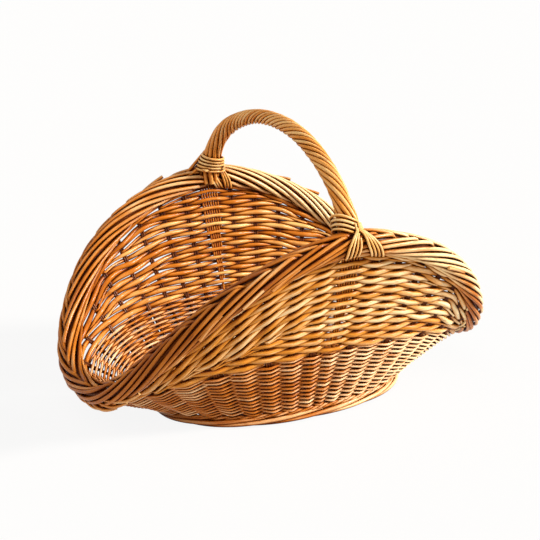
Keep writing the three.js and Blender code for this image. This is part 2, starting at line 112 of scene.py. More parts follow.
def rim_height(x):
    reach = np.minimum(1.0, np.abs(x / RIM_HALF_LENGTH))
    fall = GENTLE_FALL * reach**GENTLE_POWER + (1 - GENTLE_FALL) * reach**STEEP_POWER
    return RIM_SIDE_HEIGHT - (RIM_SIDE_HEIGHT - RIM_END_HEIGHT) * fall


# The wall as a grid: columns round the basket, distances up from the edge of the base, one per millimetre.
SUB = 12
COLUMNS = PLACES * SUB
LOW, HIGH = -12, 290
# How far the pull of the wall's curve lies from the base to the rim, along each axis.
PULL_X = 0.65
PULL_Y = 0.5
PULL_Z_END = 0.46
PULL_Z_SIDE = 0.45
MERIDIAN_POINTS = 65
middle_half_length = (RIM_HALF_LENGTH + BASE_HALF_LENGTH) / 2
middle_half_width = (RIM_HALF_WIDTH + BASE_HALF_WIDTH) / 2
angles = equal_angles(COLUMNS, middle_half_length, middle_half_width, RIM_SQUARENESS)
base_x, base_y = outline(angles, BASE_HALF_LENGTH, BASE_HALF_WIDTH, BASE_SQUARENESS)
rim_x, rim_y = outline(angles, RIM_HALF_LENGTH, RIM_HALF_WIDTH, RIM_SQUARENESS)
foot_line = np.stack([base_x, base_y, np.full(COLUMNS, STAKE_LEVEL)], -1)
rim_line = np.stack([rim_x, rim_y, rim_height(rim_x)], -1)
end_share = np.cos(angles) ** 2
pull_z = PULL_Z_END * end_share + PULL_Z_SIDE * (1 - end_share)
pull = np.stack([np.full(COLUMNS, PULL_X), np.full(COLUMNS, PULL_Y), pull_z], -1)
control = foot_line + (rim_line - foot_line) * pull
share = np.linspace(0.0, 1.0, MERIDIAN_POINTS)[None, :, None]
meridians = (
    (1 - share) ** 2 * foot_line[:, None]
    + 2 * share * (1 - share) * control[:, None]
    + share**2 * rim_line[:, None]
)
distances = np.arange(LOW, HIGH + 1, dtype=float)
rim_length = np.zeros(COLUMNS)
wall_grid = np.zeros((COLUMNS, len(distances), 3))
for column, meridian in enumerate(meridians):
    length = travelled(meridian)
    rim_length[column] = length[-1]
    inside = np.clip(distances, 0.0, length[-1])
    for axis in range(3):
        wall_grid[column, :, axis] = np.interp(inside, length, meridian[:, axis])
    # Below the base and over the rim it goes straight on.
    wall_grid[column] += np.minimum(distances, 0.0)[:, None] * unit(meridian[1] - meridian[0])
    wall_grid[column] += np.maximum(distances - length[-1], 0.0)[:, None] * unit(meridian[-1] - meridian[-2])
around = np.roll(wall_grid, -1, 0) - np.roll(wall_grid, 1, 0)
upward = np.gradient(wall_grid, axis=1)
normal_grid = unit(np.cross(around, upward))


def on_grid(grid, place, distance):
    """Reads a grid of the wall between its columns and rows."""
    column = (np.asarray(place, float) * SUB) % COLUMNS
    a = np.floor(column).astype(int) % COLUMNS
    f = (column - np.floor(column))[..., None]
    b = (a + 1) % COLUMNS
    row = np.clip(np.asarray(distance, float) - LOW, 0, HIGH - LOW - 1.001)
    k = np.floor(row).astype(int)
    g = (row - k)[..., None]
    below = grid[a, k] * (1 - f) + grid[b, k] * f
    above = grid[a, k + 1] * (1 - f) + grid[b, k + 1] * f
    return below * (1 - g) + above * g


def on_wall(place, distance, offset):
    """Points off the wall's middle surface, and its outward normal there."""
    place, distance, offset = np.broadcast_arrays(place, distance, offset)
    normal = unit(on_grid(normal_grid, place, distance))
    return on_grid(wall_grid, place, distance) + normal * offset[..., None], normal


def per_place(values, place):
    """A value that is known at each column of the grid, at any place."""
    places = np.arange(COLUMNS + 1) / SUB
    return np.interp(np.asarray(place, float) % PLACES, places, np.append(values, values[0]))


# The sine of the angle at which the stakes meet the rim, which slopes.
rim_up = unit(meridians[:, -1] - meridians[:, -2])
rim_sine = np.linalg.norm(np.cross(ring_way(rim_line), rim_up), axis=-1)
# Millimetres from one stake to the next, along the rim.
spacing = np.linalg.norm(np.roll(rim_line, -SUB, 0) - rim_line, axis=-1)


class Bundle:
    """Collects rods, then makes one mesh of them with their grain coordinates and tones."""

    GRAIN_SPREAD = 400.0
    CAP_SWELL = 0.18

    def __init__(self):
        self.verts, self.quads, self.tris = [], [], []
        self.grain, self.tone, self.cut = [], [], []
        self.count = 0

    def add(self, verts, grain, tone, cut):
        """Keeps some points of the mesh, and gives the number of the first."""
        first = self.count
        self.verts.append(verts)
        self.grain.append(grain)
        self.tone.append(np.broadcast_to(tone, (len(verts),)))
        self.cut.append(np.full(len(verts), cut))
        self.count += len(verts)
        return first

    def rod(self, points, ups, radius, tone=None, closed=False, sides=8):
        """A round rod through the points. Its tone may change along it, and is random if none is given."""
        points = np.asarray(points, float)
        n = len(points)
        radius = np.broadcast_to(np.asarray(radius, float), (n,))
        tone = np.broadcast_to(rng.random() if tone is None else tone, (n,))
        way = ring_way(points) if closed else unit(np.gradient(points, axis=0))
        up = np.broadcast_to(np.asarray(ups, float), (n, 3))
        up = unit(up - way * np.sum(up * way, -1, keepdims=True))
        side = np.cross(way, up)
        turn = np.arange(sides) / sides * 2 * np.pi
        arm = np.cos(turn)[None, :, None] * up[:, None] + np.sin(turn)[None, :, None] * side[:, None]
        verts = points[:, None] + arm * radius[:, None, None]
        start = rng.random(3) * self.GRAIN_SPREAD
        grain = np.stack([
            np.cos(turn)[None] * radius[:, None] + start[0],
            np.sin(turn)[None] * radius[:, None] + start[1],
            np.repeat(travelled(points)[:, None] + start[2], sides, 1),
        ], -1)
        first = self.add(verts.reshape(-1, 3), grain.reshape(-1, 3), np.repeat(tone, sides), 0.0)
        rings = n if closed else n - 1
        i = np.arange(rings)[:, None] * sides
        j = (np.arange(rings)[:, None] + 1) % n * sides
        k = np.arange(sides)
        m = (k + 1) % sides
        self.quads.append(first + np.stack([i + k, i + m, j + m, j + k], -1).reshape(-1, 4))
        if closed:
            return
        for end, sign in ((0, -1.0), (n - 1, 1.0)):
            bulb = points[end] + way[end] * sign * radius[end] * self.CAP_SWELL
            cap = np.vstack([verts[end], bulb])
            cap_grain = np.vstack([grain[end], grain[end].mean(0)])
            first = self.add(cap, cap_grain, tone[end], 1.0)
            fan = (m, k) if sign < 0 else (k, m)
            self.tris.append(first + np.stack([fan[0], fan[1], np.full(sides, sides)], -1))

    def build(self, name, material, slot_name, *nodes):
        """Makes the piece, which stands in for the nodes."""
        verts = np.concatenate(self.verts) * METRES
        quads = np.concatenate(self.quads)
        tris = np.concatenate(self.tris) if self.tris else np.zeros((0, 3), int)
        mesh = bpy.data.meshes.new(name)
        mesh.vertices.add(len(verts))
        mesh.vertices.foreach_set("co", verts.ravel())
        mesh.loops.add(quads.size + tris.size)
        mesh.loops.foreach_set("vertex_index", np.concatenate([quads.ravel(), tris.ravel()]))
        mesh.polygons.add(len(quads) + len(tris))
        starts = np.concatenate([np.arange(len(quads)) * 4, quads.size + np.arange(len(tris)) * 3])
        mesh.polygons.foreach_set("loop_start", starts)
        mesh.update(calc_edges=True)
        mesh.validate()
        grain = mesh.attributes.new("grain_place", "FLOAT_VECTOR", "POINT")
        grain.data.foreach_set("vector", (np.concatenate(self.grain) * METRES).ravel())
        for label, values in (("rod_tone", self.tone), ("cut_end", self.cut)):
            attribute = mesh.attributes.new(label, "FLOAT", "POINT")
            attribute.data.foreach_set("value", np.concatenate(values))
        mesh.shade_smooth()
        piece = bpy.data.objects.new(name, mesh)
        bpy.context.scene.collection.objects.link(piece)
        mesh.materials.append(material)
        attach(piece, "root")
        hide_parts(*nodes)


def linear(hex_colour):
    """An sRGB colour as linear light."""
    channels = [int(hex_colour[i:i + 2], 16) / 255.0 for i in (1, 3, 5)]
    return [c / 12.92 if c <= 0.04045 else ((c + 0.055) / 1.055) ** 2.4 for c in channels] + [1.0]


def add_node(tree, kind, links=(), values=(), **settings):
    """Adds a node with its settings, its values and its links."""
    made = tree.nodes.new(kind)
    for key, value in settings.items():
        setattr(made, key, value)
    for key, value in dict(values).items():
        made.inputs[key].default_value = value
    for key, socket in dict(links).items():
        tree.links.new(socket, made.inputs[key])
    return made


# Marks on a rod: how many to a millimetre across and along it, their detail and their roughness.
MARKS = {
    # Streaks about 0.7 mm wide and 30 mm long.
    "streak": (1.4, 0.032, 3.0, 0.6),
    # A slow change of tone along a rod, over some 60 mm.
    "slow": (0.06, 0.016, 2.0, 0.5),
    # Flecks and leaf scars, some 4 mm across and 13 mm long.
    "fleck": (0.26, 0.075, 1.0, 0.4),
}
# Where each effect begins and ends, and what it gives there. All but the flecks follow how open a spot lies.
EFFECTS = {
    "fleck": (0.66, 0.78, 0.0, 0.55),
    # Painted highlight and shade: the open crest of a rod is painted pale, and its flanks darker.
    "painted_highlight_and_shade": (0.3, 0.97, -0.46, 0.09),
    # Painted shade darkens and dulls what lies deep between the rods.
    "painted_crevice_shade": (0.2, 0.75, 1.0, 0.0),
    # Varnish shines on the crests alone.
    "shine": (0.55, 0.97, 0.0, 0.26),
}
OPENNESS_REACH = 0.008
STREAK_SHARE = 0.5
SLOW_SHARE = 0.5
ROD_SHARE = 0.2
LEVEL_START = -0.1
DARK_LEVEL, MIDDLE_LEVEL, PALE_LEVEL = 0.16, 0.5, 0.8
STREAK_RELIEF = 0.25
STREAK_DEPTH = 0.0003
WILLOW_IOR = 1.5
WILLOW_SPECULAR = 0.06
VARNISH_ROUGHNESS = 0.22
FLECK_COLOUR = "#7a3a0e"
CUT_COLOUR = "#e2b878"
# The colour of the painted shade deep between the rods.
CREVICE_SHADE_COLOUR = "#3a0d01"


def willow(name, dark, middle, pale, roughness):
    """Peeled and boiled willow: each rod has its tone, fine streaks, darker flecks and a soft varnish, with
    painted highlights on open crests and painted shade on flanks and in hollows.
    """
    material = bpy.data.materials.new(name)
    material.use_nodes = True
    tree = material.node_tree
    tree.nodes.clear()
    place = add_node(tree, "ShaderNodeAttribute", attribute_name="grain_place")
    tone = add_node(tree, "ShaderNodeAttribute", attribute_name="rod_tone")
    cut = add_node(tree, "ShaderNodeAttribute", attribute_name="cut_end")
    near = add_node(tree, "ShaderNodeAmbientOcclusion", values={"Distance": OPENNESS_REACH}, samples=6)
    marks = {}
    for mark, (across, lengthwise, detail, coarseness) in MARKS.items():
        scale = (across / METRES, across / METRES, lengthwise / METRES)
        scaled = add_node(
            tree, "ShaderNodeVectorMath", {0: place.outputs["Vector"]}, {1: scale}, operation="MULTIPLY")
        noise = add_node(
            tree, "ShaderNodeTexNoise", {"Vector": scaled.outputs["Vector"]},
            {"Scale": 1.0, "Detail": detail, "Roughness": coarseness})
        marks[mark] = noise.outputs["Fac"]
    effects = {}
    for effect, limits in EFFECTS.items():
        source = marks["fleck"] if effect == "fleck" else near.outputs["AO"]
        limits = dict(zip(("From Min", "From Max", "To Min", "To Max"), limits))
        effects[effect] = add_node(tree, "ShaderNodeMapRange", {"Value": source}, limits).outputs["Result"]
    # The level picks a colour between dark and pale.
    level = add_node(
        tree, "ShaderNodeMath", {0: marks["streak"]}, {1: STREAK_SHARE, 2: LEVEL_START},
        operation="MULTIPLY_ADD")
    for source, part in ((marks["slow"], SLOW_SHARE), (tone.outputs["Fac"], ROD_SHARE)):
        level = add_node(
            tree, "ShaderNodeMath", {0: source, 2: level.outputs[0]}, {1: part}, operation="MULTIPLY_ADD")
    # Painted highlight on the open crests and painted shade on the flanks, by how open a spot lies.
    painted_level = add_node(tree, "ShaderNodeMath", {0: level.outputs[0], 1: effects["painted_highlight_and_shade"]}, operation="ADD")
    ramp = add_node(tree, "ShaderNodeValToRGB", {"Fac": painted_level.outputs[0]})
    stops = ramp.color_ramp.elements
    stops[0].position = DARK_LEVEL
    stops[0].color = linear(dark)
    stops[1].position = PALE_LEVEL
    stops[1].color = linear(pale)
    stops.new(MIDDLE_LEVEL).color = linear(middle)
    colour = ramp.outputs["Color"]
    # Flecks and cut ends, then painted shade deep between the rods.
    layers = (
        (effects["fleck"], FLECK_COLOUR),
        (cut.outputs["Fac"], CUT_COLOUR),
        (effects["painted_crevice_shade"], CREVICE_SHADE_COLOUR),
    )
    for cover, tint in layers:
        mixed = add_node(
            tree, "ShaderNodeMix", {"Factor": cover, "A": colour}, {"B": linear(tint)}, data_type="RGBA")
        colour = mixed.outputs[2]
    bump = add_node(
        tree, "ShaderNodeBump", {"Height": marks["streak"]},
        {"Strength": STREAK_RELIEF, "Distance": STREAK_DEPTH})
    shader = add_node(
        tree, "ShaderNodeBsdfPrincipled",
        {"Base Color": colour, "Normal": bump.outputs["Normal"], "Coat Weight": effects["shine"]},
        {
            "Roughness": roughness, "IOR": WILLOW_IOR, "Specular IOR Level": WILLOW_SPECULAR,
            "Coat Roughness": VARNISH_ROUGHNESS,
        })
    add_node(tree, "ShaderNodeOutputMaterial", {"Surface": shader.outputs["BSDF"]})
    return material


# Uprights painted dark: painted shade of the weave over them.
willow_stakes = willow("willow_stakes", "#381202", "#683008", "#b06c2a", 0.46)
# Orange brown weave, cream at its palest. The copy for the inside is darker and less pale: painted shade of
# the interior.
willow_fine = willow("willow_fine_weave", "#762d03", "#cc751a", "#ffdfb0", 0.40)
willow_coarse = willow("willow_coarse_weave", "#8c4009", "#dc8e28", "#fff0c2", 0.40)
willow_inside_painted_shade = willow("willow_coarse_weave_inside", "#823706", "#ca7319", "#f6ca7e", 0.40)
# Smoother rods, rubbed by hands and by the floor.
willow_border = willow("willow_border", "#7a3305", "#c9761c", "#ffe2aa", 0.38)
willow_handle = willow("willow_handle", "#98430a", "#e89434", "#fbd594", 0.38)
willow_foot = willow("willow_foot", "#662902", "#ba6614", "#f6d29c", 0.42)
# Duller and browner rods of the bottom.
willow_base = willow("willow_base", "#6d3008", "#a55a18", "#d69548", 0.46)
# The palest rods, which tie the handle down.
willow_lashing = willow("willow_lashing", "#a05010", "#eea446", "#ffecb8", 0.36)

BEND = 0.97
FULL_TURN = 6.283


def bent(turns):
    """The swing of a rod: nearly straight from stake to stake, and bent where it passes them."""
    return np.arcsin(BEND * np.cos(np.pi * turns)) / math.asin(BEND)


def wander(n, size, knots):
    """A slow random wave for n points of a closed line."""
    steps = np.arange(n) / n
    wave = np.zeros(n)
    for k in range(1, knots + 1):
        wave += rng.normal() * np.cos(2 * np.pi * k * steps + rng.random() * FULL_TURN) / math.sqrt(k)
    return wave * size


# Lower weave: fine rods in and out of every stake, starting higher where the wall leans out most.
FINE_START = 3.0
FINE_START_RISE = 9.0
FINE_LIFT = STAKE_RADIUS + FINE_RADIUS + 0.5
FIRST_BAND_ROWS = 14
STOUT_RODS = 3
STOUT_RADIUS = 2.1
STOUT_LEVEL, STOUT_LEVEL_SWING = 0.6, 2.3
STOUT_OFFSET, STOUT_OFFSET_SWING = 3.4, 1.4
round_places = np.arange(COLUMNS) / SUB
start_line = FINE_START + FINE_START_RISE * smooth(0.35, 0.95, -normal_grid[:, -LOW, 2])
for band, rows in enumerate((range(FIRST_BAND_ROWS), range(FIRST_BAND_ROWS, FINE_ROWS))):
    bundle = Bundle()
    for row in rows:
        level = start_line + (row + 0.5) * (FINE_TOP - start_line) / FINE_ROWS
        level = level + wander(COLUMNS, size=0.16, knots=12)
        side = 1.0 if row % 2 == 0 else -1.0
        swing = side * FINE_LIFT * bent(round_places) * (1 + wander(COLUMNS, size=0.03, knots=30))
        points, normals = on_wall(round_places, level, swing)
        radius = FINE_RADIUS * (1 + wander(COLUMNS, size=0.03, knots=14))
        # Each row is three rods, which meet behind a stake: inside the front wall and outside the back one.
        first = 2 * int(rng.integers(0, PLACES // 2)) + 1 - row % 2
        second = first + 2 * int(rng.integers(5, 9))
        third = first + 2 * int(rng.integers(11, 15))
        breaks = [at + (at % PLACES < PLACES // 2) for at in (first, second, third, first + PLACES)]
        for a, b in zip(breaks[:-1], breaks[1:]):
            index = np.arange(a * SUB + 1, b * SUB) % COLUMNS
            # The ends of the basket are painted paler than the sides, and the right side most: painted light.
            x = points[index, 0]
            tone = rng.random() + 0.5 * smooth(110, 210, np.abs(x)) + x / 600 + 0.8 * smooth(-40, 60, x)
            bundle.rod(points[index], normals[index], radius[index], tone)
    if band == 0:
        # Stout rods close the foot of the wall, outside the stakes.
        for strand in range(STOUT_RODS):
            phase = np.pi * (round_places + strand * 2 / STOUT_RODS)
            level = STOUT_LEVEL + STOUT_LEVEL_SWING * np.sin(phase)
            swing = STOUT_OFFSET + STOUT_OFFSET_SWING * np.cos(phase)
            points, normals = on_wall(round_places, level, swing)
            # Their tone is painted paler toward the right: painted light.
            tone = rng.random() + 0.8 * smooth(-60, 100, points[:, 0])
            bundle.rod(points, normals, STOUT_RADIUS, tone, closed=True)
    bundle.build(f"lower_weave_{band + 1}_rods", willow_fine, "willow_fine_weave", f"lower_weave_{band + 1}")

# Upper weave: coarse rods on the long sides, each turned back round a stake at both ends.
LEVELS = 13
PAIR_HEIGHT = 11.6
COARSE_LIFT = 3.3
REACH = 10
STEPS = 10
THINNEST, THICKEST = 1.9, 3.9
LOOSE_FROM, LOOSE_TO = 9.5, 13.0
LEAST_SHARE = 0.4
HANDLE_SWING = 0.3
HANDLE_PINCH = 0.28
HANDLE_FLAT = 0.3
BORDER_DEPTH = 7.0
HALF_TURN = np.linspace(0, np.pi, 9)[1:-1]
# Levels in the order in which they reach toward an end: evenly over the height, or those along the rim first.
EVEN_ROWS = [0, 6, 3, 9, 5, 1, 7, 12, 2, 8, 4, 10, 11]
ALONG_RIM = [12, 11, 10, 0, 9, 8, 1, 7, 2, 6, 3, 5, 4]
# The weave stops where the border begins.
wall_top = rim_length - BORDER_DEPTH / rim_sine
place_top = wall_top[::SUB]


def weave_phase(place, handle_place):
    """Turns of a rod's swing, held level past the wide tail of the handle."""
    away = place - handle_place
    far = np.maximum(np.abs(away) - HANDLE_FLAT, 0.0) / (1.0 - HANDLE_FLAT)
    near = handle_place + np.sign(away) * far
    return np.where(np.abs(away) < 1.0, near, place)


def around_stake(place, way, low, high, lift):
    """A rod's turn round a stake: places, distances up the wall and offsets from it."""
    reach = way * (STAKE_RADIUS + COARSE_RADIUS) * np.sin(HALF_TURN) / spacing[(place % PLACES) * SUB]
    rise = low + (high - low) * HALF_TURN / np.pi
    return place + reach, rise, lift * math.cos(math.pi * place) * np.cos(HALF_TURN)


def add_upper_weave(side, material, handle_place, fullness, first_order, loose):
    """Pairs of rows from the lower weave to the rim. A pair is one rod, and short pairs turn back early."""
    run = handle_place + np.arange(-REACH * STEPS, REACH * STEPS + 1) / STEPS
    room = per_place(wall_top, run) - FINE_TOP
    stakes = np.arange(handle_place - REACH, handle_place + REACH + 1)
    fits = np.round((place_top[stakes % PLACES] - FINE_TOP) / PAIR_HEIGHT)
    ends = {}
    height = np.zeros((LEVELS, len(run)))
    for level in range(LEVELS):
        before = stakes[fits > first_order.index(level)]
        after = stakes[fits > EVEN_ROWS.index(level)]
        if len(before) > 2 and len(after) > 2:
            first, last = before[0], after[-1]
            ends[level] = first, last
            begun = smooth(first - 0.5, first + 1.5, run)
            height[level] = begun * (1 - smooth(last - 1.5, last + 0.5, run))
    # The pairs that run at a place share its height.
    height *= room / np.maximum(height.sum(0), LEAST_SHARE)
    bottom = FINE_TOP + np.cumsum(height, 0) - height
    play = 0.2 + 0.8 * loose * smooth(LOOSE_FROM, LOOSE_TO, stakes)
    bundles = [Bundle(), Bundle(), Bundle()]
    for level, (first, last) in sorted(ends.items()):
        part = slice((first - stakes[0]) * STEPS, (last - stakes[0]) * STEPS + 1)
        places = run[part]
        tall = height[level, part]
        rows = []
        for share in (0.25, 0.75):
            jolt = rng.normal(0, 1.0, len(stakes)) * play
            rows.append(bottom[level, part] + share * tall + np.interp(places, stakes, jolt))
        lower, upper = rows
        lift = COARSE_LIFT * (1 + rng.normal(0, 0.03))
        # Past the tail of the handle a rod swings wider and is thinner.
        swing = lift * bent(weave_phase(places, handle_place))
        swing = swing * (1 + HANDLE_SWING * hump(places - handle_place, 0.5))
        right = around_stake(last, 1.0, lower[-1], upper[-1], lift)
        left = around_stake(first, -1.0, upper[0], lower[0], lift)
        points, normals = on_wall(
            np.concatenate([places, right[0], places[::-1], left[0]]),
            np.concatenate([lower, right[1], upper[::-1], left[1]]),
            np.concatenate([swing, right[2], -swing[::-1], -left[2]]),
        )
        full = fullness - 0.05 * loose * smooth(LOOSE_FROM, LOOSE_TO, places)
        fill = np.clip(tall / 4 * full, THINNEST, THICKEST)
        fill *= 1 - HANDLE_PINCH * hump(places - handle_place, 0.4)
        turn = np.ones(len(HALF_TURN))
        fill = np.concatenate([fill, fill[-1] * turn, fill[::-1], fill[0] * turn])
        # Their tone is painted paler toward the right: painted light.
        tone = rng.random() + points[:, 0] / 700
        radius = fill * (1 + wander(len(points), size=0.03, knots=10))
        bundles[level * len(bundles) // LEVELS].rod(points, normals, radius, tone, closed=True)
    for at, bundle in enumerate(bundles):
        bundle.build(f"{side}_weave_{at + 1}_rods", material, "willow_coarse_weave", f"{side}_weave_{at + 1}")


# The back is woven loosely toward the near end, the front closely all along.
add_upper_weave("back", willow_inside_painted_shade, BACK_PLACE, fullness=1.10, first_order=EVEN_ROWS, loose=1.0)
add_upper_weave("front", willow_coarse, FRONT_PLACE, fullness=1.32, first_order=ALONG_RIM, loose=0.0)

# Stakes: one rod from the base to the rim, and one or two thinner ones beside it in the upper weave.
STAKE_TOP_GAP = 3.0
TAIL_FROM, TAIL_TO = 58.0, 6.0
BEND_IN, BEND_UP = 2.2, 0.7
STAKE_BUTT, STAKE_TIP = 2.6, 2.0
BESIDE = 3.9
BESIDE_FRONT = -3.7
BESIDE_BUTT, BESIDE_TIP = 1.9, 1.7
BESIDE_DEPTH = 14.0
BESIDE_SHORTEST = 24.0
BESIDE_OFFSET = 0.2
STAKE_TONE, STAKE_TONE_SPREAD = 0.2, 0.6
number = 0
for place in range(PLACES):
    if place in (BACK_PLACE, FRONT_PLACE):
        continue
    number += 1
    bundle = Bundle()
    top = rim_length[place * SUB] - STAKE_TOP_GAP
    heel = foot_line[place * SUB]
    inward = unit(np.array([-heel[0] / BASE_HALF_LENGTH**2, -heel[1] / BASE_HALF_WIDTH**2, 0.0]))
    tail = heel + inward * np.linspace(TAIL_FROM, TAIL_TO, 14)[:, None]
    bend = heel + inward * BEND_IN + BEND_UP * UP
    # Its points lie closer together near the bend.
    rise = np.concatenate([np.linspace(4, 14, 4), np.linspace(20, top, 24)])
    wall, normals = on_wall(place, rise, 0.0)
    points = np.vstack([tail, bend, wall])
    ups = np.vstack([np.tile(-UP, (len(tail) + 1, 1)), normals])
    tone = STAKE_TONE + STAKE_TONE_SPREAD * rng.random()
    bundle.rod(points, ups, np.linspace(STAKE_BUTT, STAKE_TIP, len(points)), tone)
    if top - FINE_TOP > BESIDE_SHORTEST:
        rise = np.linspace(FINE_TOP - BESIDE_DEPTH, top, 22)
        for shift in (BESIDE, BESIDE_FRONT) if place > PLACES // 2 else (BESIDE,):
            wall, normals = on_wall(place + shift / spacing[place * SUB], rise, BESIDE_OFFSET)
            radius = np.linspace(BESIDE_BUTT, BESIDE_TIP, len(rise))
            bundle.rod(wall, normals, radius, STAKE_TONE + STAKE_TONE_SPREAD * rng.random())
    bundle.build(f"stake_{number:02d}_rods", willow_stakes, "willow_stakes", f"stake_{number:02d}")

# Rim border: long rods rise along its outside and shorter ones inside, and meet in a herringbone on top.
RIM_STEPS = 1440
rim_angles = equal_angles(RIM_STEPS, RIM_HALF_LENGTH, RIM_HALF_WIDTH, RIM_SQUARENESS)
plan_x, plan_y = outline(rim_angles, RIM_HALF_LENGTH, RIM_HALF_WIDTH, RIM_SQUARENESS)
rim = np.stack([plan_x, plan_y, rim_height(plan_x)], -1)
rim_along = ring_way(rim)
rim_out = unit(np.cross(rim_along, UP))
rim_over = unit(UP - rim_along * rim_along[:, 2:3])
rim_travel = travelled(rim)
RIM_AROUND = rim_travel[-1] + np.linalg.norm(rim[0] - rim[-1])


def on_rim(travel, degrees, radius):
    """Points round the rim's line: 0 degrees is on top, 90 outside, -90 inside."""
    index = np.interp(travel % RIM_AROUND, np.append(rim_travel, RIM_AROUND), np.arange(RIM_STEPS + 1))
    low = np.floor(index).astype(int) % RIM_STEPS
    f = (index - np.floor(index))[:, None]
    high = (low + 1) % RIM_STEPS
    middle = rim[low] * (1 - f) + rim[high] * f
    out = unit(rim_out[low] * (1 - f) + rim_out[high] * f)
    over = unit(rim_over[low] * (1 - f) + rim_over[high] * f)
    angle = np.radians(degrees)
    arm = over * np.cos(angle)[:, None] + out * np.sin(angle)[:, None]
    return middle + arm * np.asarray(radius)[:, None], arm


def rim_travel_at(x, side):
    """How far along the rim a place lies, on its back for side 1 and on its front for -1."""
    wrong_side = 1000.0 * (rim[:, 1] * side < 0)
    return rim_travel[np.argmin(np.abs(rim[:, 0] - x) + wrong_side)]


def border_tone_painted_light_and_shade(points, degrees):
    """Tone along a rod of the border, with painted light and shade: the right end is painted paler, while its
    underside and the front away from the right are painted darker.
    """
    x, y = points[:, 0], points[:, 1]
    under = smooth(88.0, 132.0, degrees) * smooth(140.0, 230.0, x)
    front = smooth(60.0, 140.0, -y) * (1 - smooth(0.0, 100.0, x))
    return 0.55 + x / 400 + np.maximum(x, 0.0) / 170 - 2.6 * under - 0.45 * front


BORDER_PAIRS = 26
BORDER_POINTS = 48
PAIR_SPREAD = 0.215
BORDER_BUTT = 2.95
RIPPLE_DEGREES = 2.0
border = Bundle()
pair_pitch = RIM_AROUND / BORDER_PAIRS
step = np.linspace(0, 1, BORDER_POINTS)


def add_border_rod(
        at, first, turn, waves, stand, butt_tuck, butt_end, tip_tuck, tip_start, shortest, longest, thin):
    """A rod that winds along the border from its butt to its thin tip, with both tucked in."""
    begin = (at + rng.normal(0, 0.03)) * pair_pitch
    degrees = first + turn * step + RIPPLE_DEGREES * np.sin(step * waves + rng.random() * 6)
    tucked = butt_tuck * (1 - smooth(0.0, butt_end, step)) + tip_tuck * smooth(tip_start, 1.0, step)
    radius = stand - tucked + rng.normal(0, 0.3)
    points, arms = on_rim(begin + rng.uniform(shortest, longest) * step, degrees, radius)
    tone = border_tone_painted_light_and_shade(points, degrees) + rng.normal(0, 0.2)
    border.rod(points, arms, np.linspace(BORDER_BUTT, thin, BORDER_POINTS) + rng.normal(0, 0.1), tone)


for pair in range(BORDER_PAIRS):
    for spread in (-PAIR_SPREAD, PAIR_SPREAD):
        # Outer rods come out under the border, climb its outside and go under the inner ones at the top.
        add_border_rod(
            pair + spread, first=212, turn=-190, waves=8, stand=13.9, butt_tuck=1.5, butt_end=0.3,
            tip_tuck=6.0, tip_start=0.94, shortest=220, longest=232, thin=2.6)
        # Inner rods run the other way round, and their ends lie over the top.
        add_border_rod(
            pair + 0.5 + spread, first=-160, turn=194, waves=7, stand=14.3, butt_tuck=3.5, butt_end=0.15,
            tip_tuck=7.0, tip_start=0.95, shortest=214, longest=226, thin=2.55)

# Cut ends of a few rods stand out under the front of the border and over its back. Each has its place
# along X, its side, the degrees where it begins and ends, its length and how far it stands out.
CUT_ENDS = (
    (-158, -1, 128, 96, 46, 17.6),
    (-122, -1, 126, 98, 42, 17.6),
    (-205, -1, 130, 100, 40, 17.6),
    (150, -1, 124, 98, 40, 17.6),
    (-64, 1, 18, 48, 40, 19.2),
    (131, 1, 20, 50, 46, 19.6),
    (170, 1, 20, 50, 46, 20.6),
)
CUT_POINTS = 16
CUT_RADIUS = 2.5
CUT_SUNK = 13.0
step = np.linspace(0, 1, CUT_POINTS)
for x, side, degrees_from, degrees_to, reach, stand in CUT_ENDS:
    degrees = np.linspace(degrees_from, degrees_to, CUT_POINTS)
    radius = np.linspace(stand, CUT_SUNK, CUT_POINTS)
    points, arms = on_rim(rim_travel_at(x, side) + reach * step, degrees, radius)
    border.rod(points, arms, CUT_RADIUS, 0.5, sides=9)

# Loose ends hang under the near corner. Each has its place from the corner, its length and how far it hangs.
NEAR_CORNER = 0.518 * RIM_AROUND
LOOSE_ENDS = ((-46.0, 30.0, 5.4), (-24.0, 40.0, 6.6), (-2.0, 34.0, 7.8), (15.0, 38.0, 5.8), (34.0, 44.0, 4.6))
LOOSE_POINTS = 20
LOOSE_ROOT = 12.5
LOOSE_DEGREES, LOOSE_TURN = 122, 70
LOOSE_THIN, LOOSE_THICK = 2.3, 2.9
step = np.linspace(0, 1, LOOSE_POINTS)
for travel, reach, hang in LOOSE_ENDS:
    radius = LOOSE_ROOT + hang * smooth(0.0, 0.7, step)
    degrees = LOOSE_DEGREES + LOOSE_TURN * step
    points, arms = on_rim(NEAR_CORNER + travel + reach * step, degrees, radius)
    border.rod(points, arms, np.linspace(LOOSE_THIN, LOOSE_THICK, LOOSE_POINTS), 0.5, sides=9)

# A thick butt lies beside the front foot of the handle.
BUTT_X = -44.0
BUTT_LENGTH = 40.0
BUTT_DEGREES = -34, -4
BUTT_STAND = 11.0, 13.6
BUTT_RADIUS = 2.6, 4.2
travel = rim_travel_at(BUTT_X, -1) + np.linspace(0, BUTT_LENGTH, CUT_POINTS)
degrees = np.linspace(*BUTT_DEGREES, CUT_POINTS)
points, arms = on_rim(travel, degrees, np.linspace(*BUTT_STAND, CUT_POINTS))
border.rod(points, arms, np.linspace(*BUTT_RADIUS, CUT_POINTS), 0.35, sides=12)

# A core painted dark fills the plait: painted shade between its rods.
CORE_RADIUS = 10.4
border.rod(rim[::3], rim_over[::3], CORE_RADIUS, 0.0, closed=True, sides=12)
border.build("rim_border_rods", willow_border, "willow_border", "rim_border")

